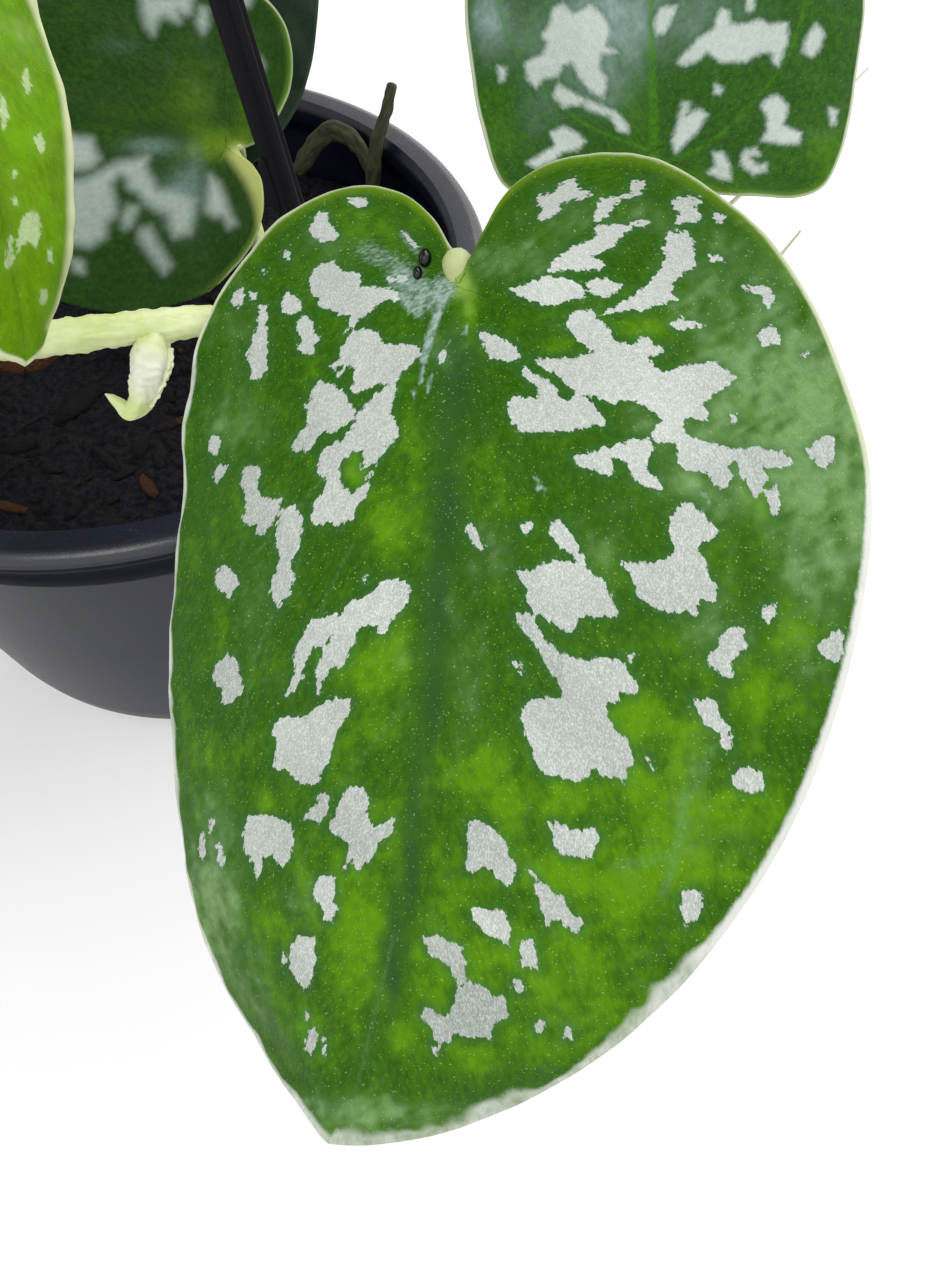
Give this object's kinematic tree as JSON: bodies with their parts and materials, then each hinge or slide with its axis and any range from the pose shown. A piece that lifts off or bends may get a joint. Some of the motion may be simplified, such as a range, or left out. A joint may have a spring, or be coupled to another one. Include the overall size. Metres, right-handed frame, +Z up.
{
  "type": "satin pothos",
  "caption": "Satin pothos with silver-blotched heart-shaped leaves on arching vines, rooted in soil in a round black nursery pot with a strand hanger and hook.",
  "frame": {"origin": "middle of the pot's base, on the surface that it stands on", "axes": "+Z up along the pot's axis, -Y towards the viewer of the picture and +X to that viewer's right"},
  "size_m": [0.3053, 0.3198, 0.4491],
  "materials": {
    "black_plastic": "black injection-moulded polypropylene with a soft sheen",
    "potting_soil": "moist dark potting mix with bark chips",
    "stem_green": "pale yellow-green living stem with papery sheaths",
    "dry_brown": "dry olive-brown old stem",
    "leaf_green": "satin green leaf with silver blotches and a pale margin"
  },
  "bodies": {
    "root": {"pot": "black_plastic", "soil": "potting_soil", "hanger_arm_1": "black_plastic", "hanger_arm_2": "black_plastic", "hanger_arm_3": "black_plastic", "hanger_hook": "black_plastic", "vine_front": "stem_green", "vine_right": "stem_green", "vine_left": "stem_green", "vine_back": "stem_green", "vine_upright": "stem_green", "dry_stem": "dry_brown", "leaf_front": "leaf_green", "leaf_near_left": "leaf_green", "leaf_upper_left": "leaf_green", "leaf_front_left": "leaf_green", "leaf_right": "leaf_green", "leaf_right_lower": "leaf_green", "leaf_right_trailing": "leaf_green", "leaf_left_upper": "leaf_green", "leaf_left_back": "leaf_green", "leaf_left_lower": "leaf_green", "leaf_left_trailing": "leaf_green", "leaf_back_upper": "leaf_green", "leaf_back": "leaf_green", "leaf_back_trailing": "leaf_green", "leaf_inner": "leaf_green", "leaf_top_left": "leaf_green", "leaf_top": "leaf_green"}
  },
  "joints": []
}
